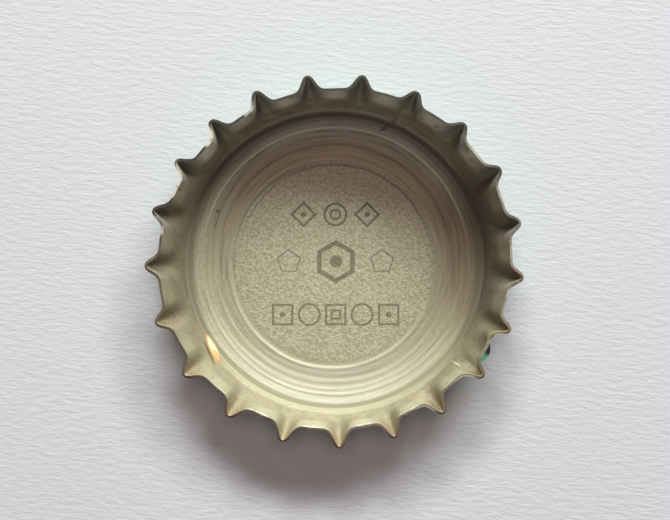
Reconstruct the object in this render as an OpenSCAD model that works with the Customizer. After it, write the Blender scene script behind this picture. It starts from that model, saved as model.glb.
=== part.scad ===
// Crown cap lying inside up: a pressed tinplate shell with a fluted skirt, and its moulded sealing liner.
// The origin is the centre of the outer panel face and the skirt rises along +Z. Millimetres and degrees.

/* [Shell] */
// Diameter over the teeth
crown_d = 32.1; // [31.4:0.05:33]
// Height of the rim between the teeth above the outer panel face
crown_h = 6; // [5.6:0.05:6.6]
// Thickness of the sheet
sheet_t = 0.24; // [0.18:0.01:0.32]
// Outside radius of the corner between panel and skirt
corner_r = 1.7; // [1.3:0.05:2]
// Diameter of the flat part of the panel, where the corner starts
flat_d = 23.7; // [23:0.05:24]
// Outside diameter of the rim between the teeth
valley_d = 29.58; // [29:0.02:30]
// How far the skirt's profile sinks in below the rim, which turns outward
flare = 0.3; // [0:0.02:0.4]
// How close to the rim the profile turns outward
flare_growth = 4; // [3:0.5:6]

/* [Teeth] */
// Number of teeth
teeth = 21; // [15:1:24]
// Direction of the first tooth
tooth_dir = 12.3; // [0:0.1:20]
// How much lower the tip of a tooth stands than the rim beside it
tip_drop = 0.45; // [0.1:0.05:0.8]
// How fast a flute deepens towards the rim
flute_growth = 1.5; // [1.1:0.05:2]
// Sharpness of a flute at its foot
foot_sharpness = 1.2; // [1:0.05:2]
// Sharpness of a tooth at the rim
rim_sharpness = 5.6; // [3:0.1:7]
// How blunt the tip of a tooth is
tip_bluntness = 1.3; // [1:0.05:1.6]

/* [Liner] */
// Thickness of the membrane over the panel
membrane_t = 0.15; // [0.1:0.01:0.25]
// Diameter of the liner's outer edge, which lies against the corner
liner_d = 26; // [25.6:0.05:26.05]
// Diameter at which the outer seal starts to rise
seal_foot_d = 20.1; // [19.8:0.05:20.4]
// Diameter of the outer seal at its crest
seal_d = 25.08; // [24.6:0.02:25.1]
// Height of the outer seal's crest above the membrane
seal_h = 0.52; // [0.4:0.01:0.56]
// Diameter of the middle bead at its crest
land_d = 20.16; // [19.9:0.02:20.4]
// Width of the middle bead
land_w = 0.84; // [0.6:0.02:0.9]
// Height of the middle bead above the membrane
land_h = 0.13; // [0.08:0.01:0.2]
// Diameter of the inner bead at its crest
bead_d = 18.6; // [18.3:0.02:18.8]
// Width of the inner bead
bead_w = 0.52; // [0.4:0.02:0.6]
// Height of the inner bead above the membrane
bead_h = 0.12; // [0.08:0.01:0.2]
// How far off centre the inner bead was moulded
bead_shift = 0.44; // [0:0.02:0.5]
// How far off centre the middle bead was moulded
land_shift = 0.26; // [0:0.02:0.4]
// Direction in which the beads are off centre
shift_dir = 244; // [0:1:360]

/* [Wear] */
// How far the rim between the teeth stands out along the long axis of its oval
rim_oval = 0.32; // [0:0.02:0.5]
// How far the tips stand out along the long axis of their oval
tip_oval = 0.13; // [0:0.01:0.3]
// Direction of the long axis
oval_dir = 18.5; // [0:0.5:180]
// How far the rim between the teeth is pushed sideways
rim_shift = 0.15; // [0:0.01:0.3]
// Direction in which it is pushed
rim_shift_dir = 82; // [0:1:360]
// Drift of the teeth from even spacing, once round the rim
drift_once = 1.2; // [0:0.1:1.6]
// Direction in which that drift is largest
drift_once_dir = 322; // [0:1:360]
// Drift of the teeth from even spacing, twice round the rim
drift_twice = 1.35; // [0:0.05:1.6]
// Direction in which that drift is largest
drift_twice_dir = 96; // [0:1:180]
// Direction of the bent place in the skirt
bend_dir = 328.5; // [0:0.5:360]
// Half of the angle that the bent place takes up
bend_half_angle = 5; // [3:0.5:8]
// How far the rim is pushed out there
bend_out = 0.15; // [0:0.05:0.5]
// How far the skirt bulges out below the rim there
bend_bulge = 1.4; // [0:0.05:1.6]

/* [Hidden] */

// Facets of the shell: steps around a tooth, up the corner and up the skirt
tooth_steps = 10;
corner_steps = 4;
skirt_steps = 8;
// How strongly the steps around a tooth crowd at its tip
tip_crowding = 0.55;
// Part of the skirt's height, and of a tooth's turn in degrees, over which its slope is measured
slope_share = 0.01;
slope_turn = 2;
// How the wear fades from the rim to the foot of the skirt, and where the bent place bulges
wear_growth = 1.5;
bend_growth = 5;
bulge_climb_share = 0.66;
bulge_share = 0.2;
// Clearance of the liner's edge from the facets of the corner
corner_gap = 0.03;
// How deep the beads reach into the membrane
bead_root = membrane_t / 2;

columns = teeth * tooth_steps;
rows = corner_steps + skirt_steps + 1;
flat_r = flat_d / 2;
half_t = sheet_t / 2;

// Lean of the skirt from the vertical: its outer face is tangent to the corner and meets the valley diameter
// at the height of the rim
rim_reach = valley_d / 2 - flat_r;
rim_rise = crown_h - corner_r;
skirt_lean = atan2(rim_reach, rim_rise) - asin(corner_r / norm([rim_reach, rim_rise]));

// Middle of the sheet at the foot and at the rim of the skirt
foot_r = flat_r + (corner_r - half_t) * cos(skirt_lean);
foot_z = corner_r - (corner_r - half_t) * sin(skirt_lean);
rim_z = crown_h - half_t * sin(skirt_lean);
rim_r = foot_r + (rim_z - foot_z) * tan(skirt_lean);

// Height of a tooth in plan, with the lean of its ridge at the tip
tip_climb = rim_z - tip_drop - foot_z;
tip_run = rim_r - foot_r + flare * (flare_growth - 1) + flute_growth * (crown_d / 2 - rim_r);
tip_lean = atan2(tip_run, tip_climb);
tooth_h = crown_d / 2 - half_t * cos(tip_lean) - rim_r;

function mix(a, b, share) = a + (b - a) * share;
function polar(radius, angle, z) = [radius * cos(angle), radius * sin(angle), z];
function unit(v) = v / norm(v);
function hump(x) = exp(-x * x);
function ridge(turn, sharpness) = 1 - pow(1 - pow((1 + cos(turn)) / 2, sharpness), tip_bluntness);

// Turn of a column: 360 degrees from one tooth to the next, with the steps crowded at the tips
function column_turn(column) =
    let (share = column / tooth_steps)
    360 * share - tip_crowding * sin(360 * share) * 180 / PI;

// Direction of a turn, with the uneven spacing of the teeth
function turn_dir(turn) =
    let (even = tooth_dir + turn / teeth)
    even + drift_once * cos(even - drift_once_dir) + drift_twice * cos(2 * (even - drift_twice_dir));

// Wear of the rim between the teeth and of the tips: how far they stand out at a direction
function rim_wear(angle) =
    rim_oval * cos(2 * (angle - oval_dir)) + rim_shift * cos(angle - rim_shift_dir);
function tip_wear(angle) = tip_oval * cos(2 * (angle - oval_dir));

// The bent place: out a little at the rim and much more below it
function bend(angle, climb) =
    hump((angle - bend_dir) / bend_half_angle)
    * (bend_bulge * hump((climb - bulge_climb_share) / bulge_share) + bend_out * pow(climb, bend_growth));

// Middle of the sheet on the skirt, where climb runs from 0 at the foot to 1 at the rim
function skirt_point(turn, climb) =
    let (
        angle = turn_dir(turn),
        at_rim = ridge(turn, rim_sharpness),
        flute = pow(climb, flute_growth) * ridge(turn, mix(foot_sharpness, rim_sharpness, climb)),
        wear = rim_wear(angle),
        radius = mix(foot_r, rim_r, climb) + flare * (pow(climb, flare_growth) - climb)
            + pow(climb, wear_growth) * wear * (1 - at_rim)
            + flute * (tooth_h + tip_wear(angle))
            + bend(angle, climb)
    )
    polar(radius, angle, mix(foot_z, rim_z - tip_drop * at_rim, climb));

// Normal of the sheet there, pointing out of the cap
function skirt_normal(turn, climb) =
    unit(cross(
        skirt_point(turn + slope_turn, climb) - skirt_point(turn - slope_turn, climb),
        skirt_point(turn, climb + slope_share) - skirt_point(turn, climb - slope_share)
    ));

// Point of a face of the sheet: side is -1 on the inside and 1 on the outside
function corner_point(side, turn, climb) =
    let (
        bend_r = corner_r - half_t + side * half_t,
        angle = climb * (90 - skirt_lean)
    )
    polar(flat_r + bend_r * sin(angle), turn_dir(turn), corner_r - bend_r * cos(angle));
function shell_point(side, column, row) =
    let (turn = column_turn(column), climb = (row - corner_steps) / skirt_steps)
    row <= corner_steps
        ? corner_point(side, turn, row / corner_steps)
        : skirt_point(turn, climb) + side * half_t * skirt_normal(turn, climb);

// Index of a point of the shell: the inside has the first half of them
function index(inside, column, row) = ((inside ? 0 : rows) + row) * columns + column % columns;

// Two triangles between four corners in order
function halves(a, b, c, d) = [[a, b, c], [a, c, d]];

module crown_shell() {
    points = [
        for (side = [-1, 1], row = [0 : rows - 1], column = [0 : columns - 1])
            shell_point(side, column, row)
    ];
    inside = [
        for (row = [0 : rows - 2], c = [0 : columns - 1])
            each halves(
                index(true, c, row), index(true, c + 1, row),
                index(true, c + 1, row + 1), index(true, c, row + 1)
            )
    ];
    outside = [
        for (row = [0 : rows - 2], c = [0 : columns - 1])
            each halves(
                index(false, c + 1, row), index(false, c, row),
                index(false, c, row + 1), index(false, c + 1, row + 1)
            )
    ];
    cut_edge = [
        for (c = [0 : columns - 1])
            each halves(
                index(true, c, rows - 1), index(true, c + 1, rows - 1),
                index(false, c + 1, rows - 1), index(false, c, rows - 1)
            )
    ];
    panel_seam = [
        for (c = [0 : columns - 1])
            each halves(
                index(false, c, 0), index(false, c + 1, 0),
                index(true, c + 1, 0), index(true, c, 0)
            )
    ];
    panel_outline = [for (c = [0 : columns - 1]) let (p = shell_point(1, c, 0)) [p.x, p.y]];
    color("#cfc9a0") {
        polyhedron(points, concat(inside, outside, cut_edge, panel_seam));
        linear_extrude(sheet_t) polygon(panel_outline);
    }
}

// Section of a low round bead with its root in the membrane
module bead_section(crest_r, width, height) {
    arc_r = (pow(width / 2, 2) + pow(height, 2)) / (2 * height);
    membrane_z = sheet_t + membrane_t;
    intersection() {
        translate([crest_r, membrane_z + height - arc_r]) circle(arc_r, $fn = 200);
        translate([crest_r - width, membrane_z - bead_root]) square([2 * width, bead_root + height]);
    }
}

// Section of the room over the panel and the corner, up to the edge of the liner, just clear of the corner's facets
module seat_section() {
    seat_r = flat_r - corner_gap;
    inner_corner_r = corner_r - sheet_t;
    corner = [
        for (step = [0 : corner_steps])
            let (angle = step / corner_steps * (90 - skirt_lean))
            [seat_r + inner_corner_r * sin(angle), corner_r - inner_corner_r * cos(angle)]
    ];
    intersection() {
        polygon(concat([[0, sheet_t]], corner, [[0, corner[corner_steps].y]]));
        square([liner_d / 2, corner_r]);
    }
}

// Section of the outer seal, which rises from the membrane to its crest and runs level from there to the corner
module seal_section() {
    membrane_z = sheet_t + membrane_t;
    polygon([
        [seal_foot_d / 2, sheet_t], [seal_foot_d / 2, membrane_z],
        [seal_d / 2, membrane_z + seal_h], [liner_d / 2, membrane_z + seal_h],
        [liner_d / 2, sheet_t]
    ]);
}

// A round bead moulded off centre
module shifted_bead(diameter, width, height, shift) {
    translate(polar(shift, shift_dir, 0))
        rotate_extrude($fn = 200) bead_section(diameter / 2, width, height);
}

module liner() {
    color("#dcdcc4") {
        rotate_extrude($fn = 200)
            intersection() {
                seat_section();
                union() {
                    translate([0, sheet_t]) square([liner_d / 2, membrane_t]);
                    seal_section();
                }
            }
        shifted_bead(land_d, land_w, land_h, land_shift);
        shifted_bead(bead_d, bead_w, bead_h, bead_shift);
    }
}

crown_shell();
liner();
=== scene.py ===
"""Dresses the crown cap: a lacquered tinplate shell with its moulded liner, lying inside up on paper."""

import logging
import math
from dataclasses import dataclass, field
from enum import Enum, IntEnum
from functools import reduce
from typing import Any, Iterable, Mapping, Optional, Sequence, Tuple, Union

import bmesh
import bpy
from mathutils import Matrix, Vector

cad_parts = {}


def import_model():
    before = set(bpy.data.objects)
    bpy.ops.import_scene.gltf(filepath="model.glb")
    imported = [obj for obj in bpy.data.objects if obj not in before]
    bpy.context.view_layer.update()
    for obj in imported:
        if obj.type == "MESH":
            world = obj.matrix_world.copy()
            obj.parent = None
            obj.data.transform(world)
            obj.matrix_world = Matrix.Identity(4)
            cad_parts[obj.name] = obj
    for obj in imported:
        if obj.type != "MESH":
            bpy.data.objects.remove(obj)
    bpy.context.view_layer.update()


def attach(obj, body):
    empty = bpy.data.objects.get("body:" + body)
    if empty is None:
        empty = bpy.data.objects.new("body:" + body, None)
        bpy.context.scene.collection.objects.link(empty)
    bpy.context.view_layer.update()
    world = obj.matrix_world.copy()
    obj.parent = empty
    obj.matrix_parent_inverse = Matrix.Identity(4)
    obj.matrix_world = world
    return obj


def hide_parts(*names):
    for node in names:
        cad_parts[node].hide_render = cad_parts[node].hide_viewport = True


LOG = logging.getLogger("crown_cap")
MM = 0.001
AXIS = (0.0, 0.0, 0.0)
Colour = Tuple[float, float, float]
Range = Tuple[float, float]


def mix(low: float, high: float, share: float) -> float:
    """Value a share of the way from low to high."""
    return low + (high - low) * share


def hump(x: float) -> float:
    """Smooth hump of height 1 at x = 0."""
    return math.exp(-x * x)


def cosd(angle: float) -> float:
    """Cosine of an angle in degrees."""
    return math.cos(math.radians(angle))


def sind(angle: float) -> float:
    """Sine of an angle in degrees."""
    return math.sin(math.radians(angle))


def polar(radius: float, angle: float, height: float = 0.0) -> Vector:
    """Point at a radius, an angle in degrees and a height."""
    return Vector((radius * cosd(angle), radius * sind(angle), height))


# --------------------------------------------------------------------------------------------------
# Modelling in edit mode
# --------------------------------------------------------------------------------------------------


class Bench:
    """Edit mode on one piece at a time, in millimetres and degrees."""

    def __init__(self, piece: bpy.types.Object) -> None:
        """Takes the piece that is being worked on."""
        self.piece = piece

    @staticmethod
    def clear() -> None:
        """Leaves edit mode and deselects every object."""
        if bpy.context.object and bpy.context.object.mode != "OBJECT":
            bpy.ops.object.mode_set(mode="OBJECT")
        bpy.ops.object.select_all(action="DESELECT")

    @classmethod
    def ring(cls, name: str, radius: float, height: float, steps: int) -> "Bench":
        """Starts a piece as an open ring and goes into edit mode on it.

        Args:
            name: name of the piece.
            radius: radius of the ring.
            height: height of the ring.
            steps: number of points on it.

        Returns:
            The bench with the ring on it, all selected.
        """
        cls.clear()
        bpy.ops.mesh.primitive_circle_add(
            vertices=steps, radius=radius * MM, fill_type="NOTHING", location=(0, 0, height * MM)
        )
        piece = bpy.context.object
        piece.name = piece.data.name = name
        bpy.ops.object.transform_apply(location=True, rotation=True, scale=True)
        bpy.ops.object.mode_set(mode="EDIT")
        bpy.ops.mesh.select_mode(type="VERT")
        return cls(piece)

    @property
    def mesh(self) -> bmesh.types.BMesh:
        """The piece's mesh in edit mode, with its points in order.

        Returns:
            The mesh.
        """
        mesh = bmesh.from_edit_mesh(self.piece.data)
        mesh.verts.ensure_lookup_table()
        return mesh

    def selected(self) -> list:
        """Indices of the selected points, in order of their direction round the axis."""
        picked = [(math.atan2(v.co.y, v.co.x), v.index) for v in self.mesh.verts if v.select]
        return [index for _, index in sorted(picked)]

    def pick(self, indices: Iterable[int]) -> None:
        """Selects these points and nothing else.

        Args:
            indices: indices of the points.
        """
        bpy.ops.mesh.select_all(action="DESELECT")
        mesh = self.mesh
        for index in indices:
            mesh.verts[index].select = True
        mesh.select_flush_mode()

    def place(self, index: int) -> Vector:
        """Place of a point in millimetres."""
        return self.mesh.verts[index].co / MM

    @staticmethod
    def turn(angle: float) -> None:
        """Turns the selection about the axis; positive is anticlockwise from above."""
        bpy.ops.transform.rotate(value=-math.radians(angle), orient_axis="Z", center_override=AXIS)

    @staticmethod
    def move(step: Vector) -> None:
        """Moves the selection by a step in millimetres."""
        bpy.ops.transform.translate(value=step * MM)

    @staticmethod
    def spread(factor: float, centre: Vector = Vector((0, 0, 0))) -> None:
        """Scales the selection in plan about a centre in millimetres."""
        bpy.ops.transform.resize(value=(factor, factor, 1), center_override=centre * MM)

    @staticmethod
    def extrude() -> None:
        """Extrudes the selected ring of edges in place; the new ring stays selected."""
        bpy.ops.mesh.extrude_edges_move(TRANSFORM_OT_translate={"value": (0, 0, 0)})

    @staticmethod
    def close_ring() -> None:
        """Fills the selected ring with a fan of faces round a middle point."""
        bpy.ops.mesh.edge_face_add()
        bpy.ops.mesh.poke()

    def done(self) -> bpy.types.Object:
        """Turns all faces outwards, leaves edit mode and gives the piece back.

        Returns:
            The piece.
        """
        bpy.ops.mesh.select_all(action="SELECT")
        bpy.ops.mesh.normals_make_consistent(inside=False)
        bpy.ops.object.mode_set(mode="OBJECT")
        return self.piece


class Modifiers:
    """Adds modifiers to a piece and applies each at once."""

    def __init__(self, piece: bpy.types.Object) -> None:
        """Makes the piece the active one.

        Args:
            piece: the piece that gets the modifiers.
        """
        Bench.clear()
        piece.select_set(True)
        bpy.context.view_layer.objects.active = piece
        self.piece = piece

    def apply(self, kind: str, **settings: Any) -> None:
        """Adds a modifier and applies it.

        Args:
            kind: type of the modifier.
            settings: its properties.
        """
        modifier = self.piece.modifiers.new(kind.title(), kind)
        for name, value in settings.items():
            setattr(modifier, name, value)
        bpy.ops.object.modifier_apply(modifier=modifier.name)

    def subdivide(self, levels: int) -> None:
        """Rounds the piece with a subdivision surface."""
        self.apply("SUBSURF", levels=levels, render_levels=levels, use_limit_surface=False)

    def smooth(self, angle: float) -> None:
        """Shades the piece smooth, with sharp edges above an angle."""
        bpy.ops.object.shade_smooth_by_angle(angle=math.radians(angle))


# --------------------------------------------------------------------------------------------------
# Shader maths
# --------------------------------------------------------------------------------------------------


class Field:
    """A value in a finish. Sums, products and comparisons of fields add the nodes that work them out."""

    def __init__(self, nodes: "Nodes", socket: bpy.types.NodeSocket) -> None:
        """Wraps an output socket of a node tree."""
        self.nodes, self.socket = nodes, socket

    def maths(self, operation: str, *others: "Amount") -> "Field":
        """Adds a Math node with this field first."""
        inputs = dict(enumerate((self, *others)))
        return self.nodes.add("Math", {"operation": operation}, inputs)

    def __add__(self, other: "Amount") -> "Field":
        """Sum."""
        return self.maths("ADD", other)

    __radd__ = __add__

    def __mul__(self, other: "Amount") -> "Field":
        """Product."""
        return self.maths("MULTIPLY", other)

    __rmul__ = __mul__

    def __sub__(self, other: "Amount") -> "Field":
        """Difference."""
        return self.maths("SUBTRACT", other)

    def __rsub__(self, other: float) -> "Field":
        """Difference from a number."""
        return self * -1 + other

    def __truediv__(self, other: "Amount") -> "Field":
        """Quotient."""
        return self.maths("DIVIDE", other)

    def __rtruediv__(self, other: float) -> "Field":
        """Quotient of a number by the field."""
        return self.maths("POWER", -1) * other

    def __pow__(self, power: "Amount") -> "Field":
        """Power."""
        return self.maths("POWER", power)

    def __neg__(self) -> "Field":
        """Opposite."""
        return self * -1

    def __abs__(self) -> "Field":
        """Size without its sign."""
        return self.maths("ABSOLUTE")

    def at_most(self, other: "Amount") -> "Field":
        """The smaller of the two."""
        return self.maths("MINIMUM", other)

    def at_least(self, other: "Amount") -> "Field":
        """The larger of the two."""
        return self.maths("MAXIMUM", other)

    def cosd(self) -> "Field":
        """Cosine of an angle in degrees."""
        return (self * math.radians(1)).maths("COSINE")

    def rise(self, low: float, high: float) -> "Field":
        """Goes smoothly from 0 to 1.

        Args:
            low: value up to which the result is 0.
            high: value from which the result is 1.

        Returns:
            The result.
        """
        settings = {"interpolation_type": "SMOOTHSTEP", "clamp": True}
        return self.nodes.add("MapRange", settings, {0: self, 1: low, 2: high, 3: 0.0, 4: 1.0})

    def below(self, edge: float, soft: float) -> "Field":
        """1 below an edge and 0 above it, over a soft width."""
        return 1 - self.rise(edge - soft / 2, edge + soft / 2)

    def within(self, low: float, high: float, soft: float) -> "Field":
        """1 between two edges and 0 outside them, over a soft width."""
        return self.rise(low - soft / 2, low + soft / 2) * self.below(high, soft)


Amount = Union[Field, float]


def largest(fields: Iterable[Field]) -> Field:
    """The largest of some fields at each place."""
    return reduce(Field.at_least, fields)


@dataclass(frozen=True)
class Noise:
    """Cloudy noise: its scale in features per millimetre, its detail and its roughness."""

    scale: float
    detail: float = 2.0
    rough: float = 0.5


class Nodes:
    """The node tree of one finish, with one way to add a node."""

    def __init__(self, tree: bpy.types.NodeTree) -> None:
        """Empties the tree."""
        self.tree = tree
        tree.nodes.clear()

    def add(
        self,
        kind: str,
        settings: Optional[Mapping[str, Any]] = None,
        inputs: Optional[Mapping[Union[int, str], Any]] = None,
        output: Union[int, str] = 0,
    ) -> Field:
        """Adds a node.

        Args:
            kind: type of the node, without the ShaderNode in front.
            settings: its properties, set first.
            inputs: values or fields for its sockets, by index or name.
            output: the output that is wanted.

        Returns:
            That output as a field.
        """
        node = self.tree.nodes.new("ShaderNode" + kind)
        for name, value in (settings or {}).items():
            setattr(node, name, value)
        for name, value in (inputs or {}).items():
            if isinstance(value, Field):
                self.tree.links.new(value.socket, node.inputs[name])
            else:
                socket = node.inputs[name]
                colour = socket.type == "RGBA" and len(value) == 3
                socket.default_value = (*value, 1.0) if colour else value
        return Field(self, node.outputs[output]) if node.outputs else Field(self, None)

    def blend(self, share: Amount, first: Any, second: Any) -> Field:
        """Colour a share of the way from the first to the second."""
        settings = {"data_type": "RGBA", "clamp_factor": True}
        return self.add("Mix", settings, {0: share, 6: first, 7: second}, 2)

    def point(self, x: Amount, y: Amount, z: Amount) -> Field:
        """Vector of three values."""
        return self.add("CombineXYZ", inputs={0: x, 1: y, 2: z})

    def noise(self, vector: Field, kind: Noise) -> Field:
        """Cloudy noise from 0 to 1."""
        inputs = {"Vector": vector, "Scale": kind.scale, "Detail": kind.detail, "Roughness": kind.rough}
        return self.add("TexNoise", {"noise_dimensions": "3D"}, inputs)


@dataclass(frozen=True)
class Place:
    """Where a point of a surface is, in millimetres, in the frame of the cap.

    The far side of the cap is towards +y, its near side towards -y, its left -x and its right +x.
    """

    point: Field
    x: Field
    y: Field
    z: Field
    radius: Field

    @classmethod
    def of(cls, nodes: Nodes) -> "Place":
        """Adds the nodes that read the place.

        Args:
            nodes: the node tree to add them to.

        Returns:
            The place.
        """
        metres = nodes.add("TexCoord", output="Object")
        point = nodes.add("VectorMath", {"operation": "SCALE"}, {0: metres, 3: 1 / MM})
        x, y, z = (nodes.add("SeparateXYZ", inputs={0: point}, output=axis) for axis in range(3))
        return cls(point, x, y, z, (x * x + y * y) ** 0.5)

    def far(self) -> Field:
        """1 on the far side of the cap and 0 on its near side."""
        return self.y.rise(-9.0, 3.0)

    def near_end(self) -> Field:
        """1 at the near end of the cap and 0 over the rest of it."""
        return 1 - self.y.rise(-13.0, -5.0)

    def ringwise(self, along: float, across: float, up: float = 0.0) -> Field:
        """Vector for noise that runs round the axis.

        Args:
            along: features along the turn, for one radian.
            across: features per millimetre of radius.
            up: features per millimetre of height.

        Returns:
            The vector.
        """
        nodes = self.x.nodes
        level = self.radius * across + self.z * up
        return nodes.point(self.x / self.radius * along, self.y / self.radius * along, level)


@dataclass(frozen=True)
class Spot:
    """Round spot: its centre in plan, its radius and the width of its soft edge."""

    x: float
    y: float
    radius: float
    soft: float = 0.14

    def mask(self, place: Place) -> Field:
        """1 in the spot and 0 outside it."""
        dx, dy = place.x - self.x, place.y - self.y
        return ((dx * dx + dy * dy) ** 0.5).below(self.radius, self.soft)


@dataclass(frozen=True)
class Dash:
    """Long spot with pointed ends: centre, direction, half sizes, and softness as a share of its width."""

    x: float
    y: float
    angle: float
    half_length: float
    half_width: float
    soft: float = 0.6

    def mask(self, place: Place) -> Field:
        """1 in the dash and 0 outside it.

        Args:
            place: where the surface is.

        Returns:
            The mask.
        """
        dx, dy = place.x - self.x, place.y - self.y
        along = (dx * cosd(self.angle) + dy * sind(self.angle)) / self.half_length
        across = (dy * cosd(self.angle) - dx * sind(self.angle)) / self.half_width
        return ((along * along + across * across) ** 0.5).below(1, self.soft)


# --------------------------------------------------------------------------------------------------
# Finishes
# --------------------------------------------------------------------------------------------------


@dataclass
class Coat:
    """What one finish gives the surface shader."""

    colour: Any
    roughness: Amount
    metallic: Amount
    height: Optional[Field] = None
    depth: float = 0.0
    fixed: Mapping[str, Any] = field(default_factory=dict)


class Layers:
    """Colours laid over one another on a surface, each with its share."""

    def __init__(self, nodes: Nodes, place: Place, ground: Any) -> None:
        """Starts with the ground colour."""
        self.nodes, self.place, self.top = nodes, place, ground

    def lay(self, share: Amount, colour: Any) -> None:
        """Lays a share of a colour over what is there."""
        self.top = self.nodes.blend(share, self.top, colour)


@dataclass(frozen=True)
class Finish:
    """A finish of the cap. Each kind paints its own coat."""

    name: str

    def paint(self, nodes: Nodes, place: Place) -> Coat:
        """Works out the coat over the surface."""
        raise NotImplementedError

    def material(self) -> bpy.types.Material:
        """Makes the finish's material.

        Returns:
            The material.
        """
        material = bpy.data.materials.new(self.name)
        material.use_nodes = True
        nodes = Nodes(material.node_tree)
        coat = self.paint(nodes, Place.of(nodes))
        inputs = {
            "Base Color": coat.colour,
            "Roughness": coat.roughness,
            "Metallic": coat.metallic,
            **coat.fixed,
        }
        if coat.height is not None:
            bump = {"Height": coat.height, "Distance": coat.depth * MM, "Strength": 1.0}
            inputs["Normal"] = nodes.add("Bump", inputs=bump)
        shader = nodes.add("BsdfPrincipled", inputs=inputs)
        nodes.add("OutputMaterial", inputs={"Surface": shader})
        return material


@dataclass(frozen=True)
class Spacing:
    """Where the teeth stand round the rim: their number, the direction of one, and how the spacing drifts."""

    teeth: int = 21
    tooth_dir: float = 12.3
    drift_once: float = 1.2
    drift_once_dir: float = 322.0
    drift_twice: float = 1.35
    drift_twice_dir: float = 96.0

    def direction(self, turn: float) -> float:
        """Direction of a turn round the teeth.

        Args:
            turn: turn, 360 degrees a tooth and 0 at each tip.

        Returns:
            The direction in degrees.
        """
        even = self.tooth_dir + turn / self.teeth
        once = self.drift_once * cosd(even - self.drift_once_dir)
        return even + once + self.drift_twice * cosd(2 * (even - self.drift_twice_dir))

    def turn(self, place: Place) -> Field:
        """Turn round the teeth at a place.

        Args:
            place: where the surface is.

        Returns:
            The turn, 360 degrees a tooth and 0 at each tip.
        """
        direction = place.y.maths("ARCTAN2", place.x) * math.degrees(1)
        once = (direction - self.drift_once_dir).cosd() * self.drift_once
        twice = ((direction - self.drift_twice_dir) * 2).cosd() * self.drift_twice
        return (direction - once - twice - self.tooth_dir) * self.teeth

    def flute(self, place: Place, sharpness: float) -> Field:
        """1 along the middle of each flute and 0 between the flutes; a sharp flute is narrow."""
        return (self.turn(place).cosd() * 0.5 + 0.5) ** sharpness

    def land(self, place: Place, sharpness: float) -> Field:
        """1 along the middle between two flutes and 0 in them."""
        return 1 - self.flute(place, sharpness)

    def flank(self, place: Place) -> Field:
        """1 on the side of a tooth that comes after its tip, anticlockwise, and -1 on the side before it."""
        return (self.turn(place) - 90).cosd()


@dataclass(frozen=True)
class Nick:
    """Long nick in the lacquer at the foot of the skirt, gold inside, amber at its ends, with painted crease
    shadow on one side and a gold core painted bright as its glint.
    """

    whole: Dash = Dash(-10.66, -7.66, -63.0, 1.38, 0.29, 0.35)
    core: Dash = Dash(-10.66, -7.58, -63.0, 1.12, 0.23, 0.4)
    tail: Dash = Dash(-10.36, -8.28, -63.0, 0.6, 0.22, 0.7)
    lip: Dash = Dash(-10.92, -7.96, -63.0, 1.15, 0.1)
    gold: Colour = (0.74, 0.60, 0.36)
    honey: Colour = (0.58, 0.36, 0.13)
    amber: Colour = (0.50, 0.24, 0.07)
    shade: Colour = (0.09, 0.05, 0.02)

    def lay_on(self, colour: Layers) -> None:
        """Lays the nick over the colours.

        Args:
            colour: the colours round it.
        """
        place = colour.place
        # Painted shadow along the crease; the gold core below is painted bright as the glint of the nick.
        colour.lay(self.lip.mask(place) * 0.75, self.shade)
        colour.lay(self.whole.mask(place) * 0.8, self.amber)
        gilt = colour.nodes.blend(self.tail.mask(place) * 0.9, self.gold, self.honey)
        colour.lay(self.core.mask(place), gilt)


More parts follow.
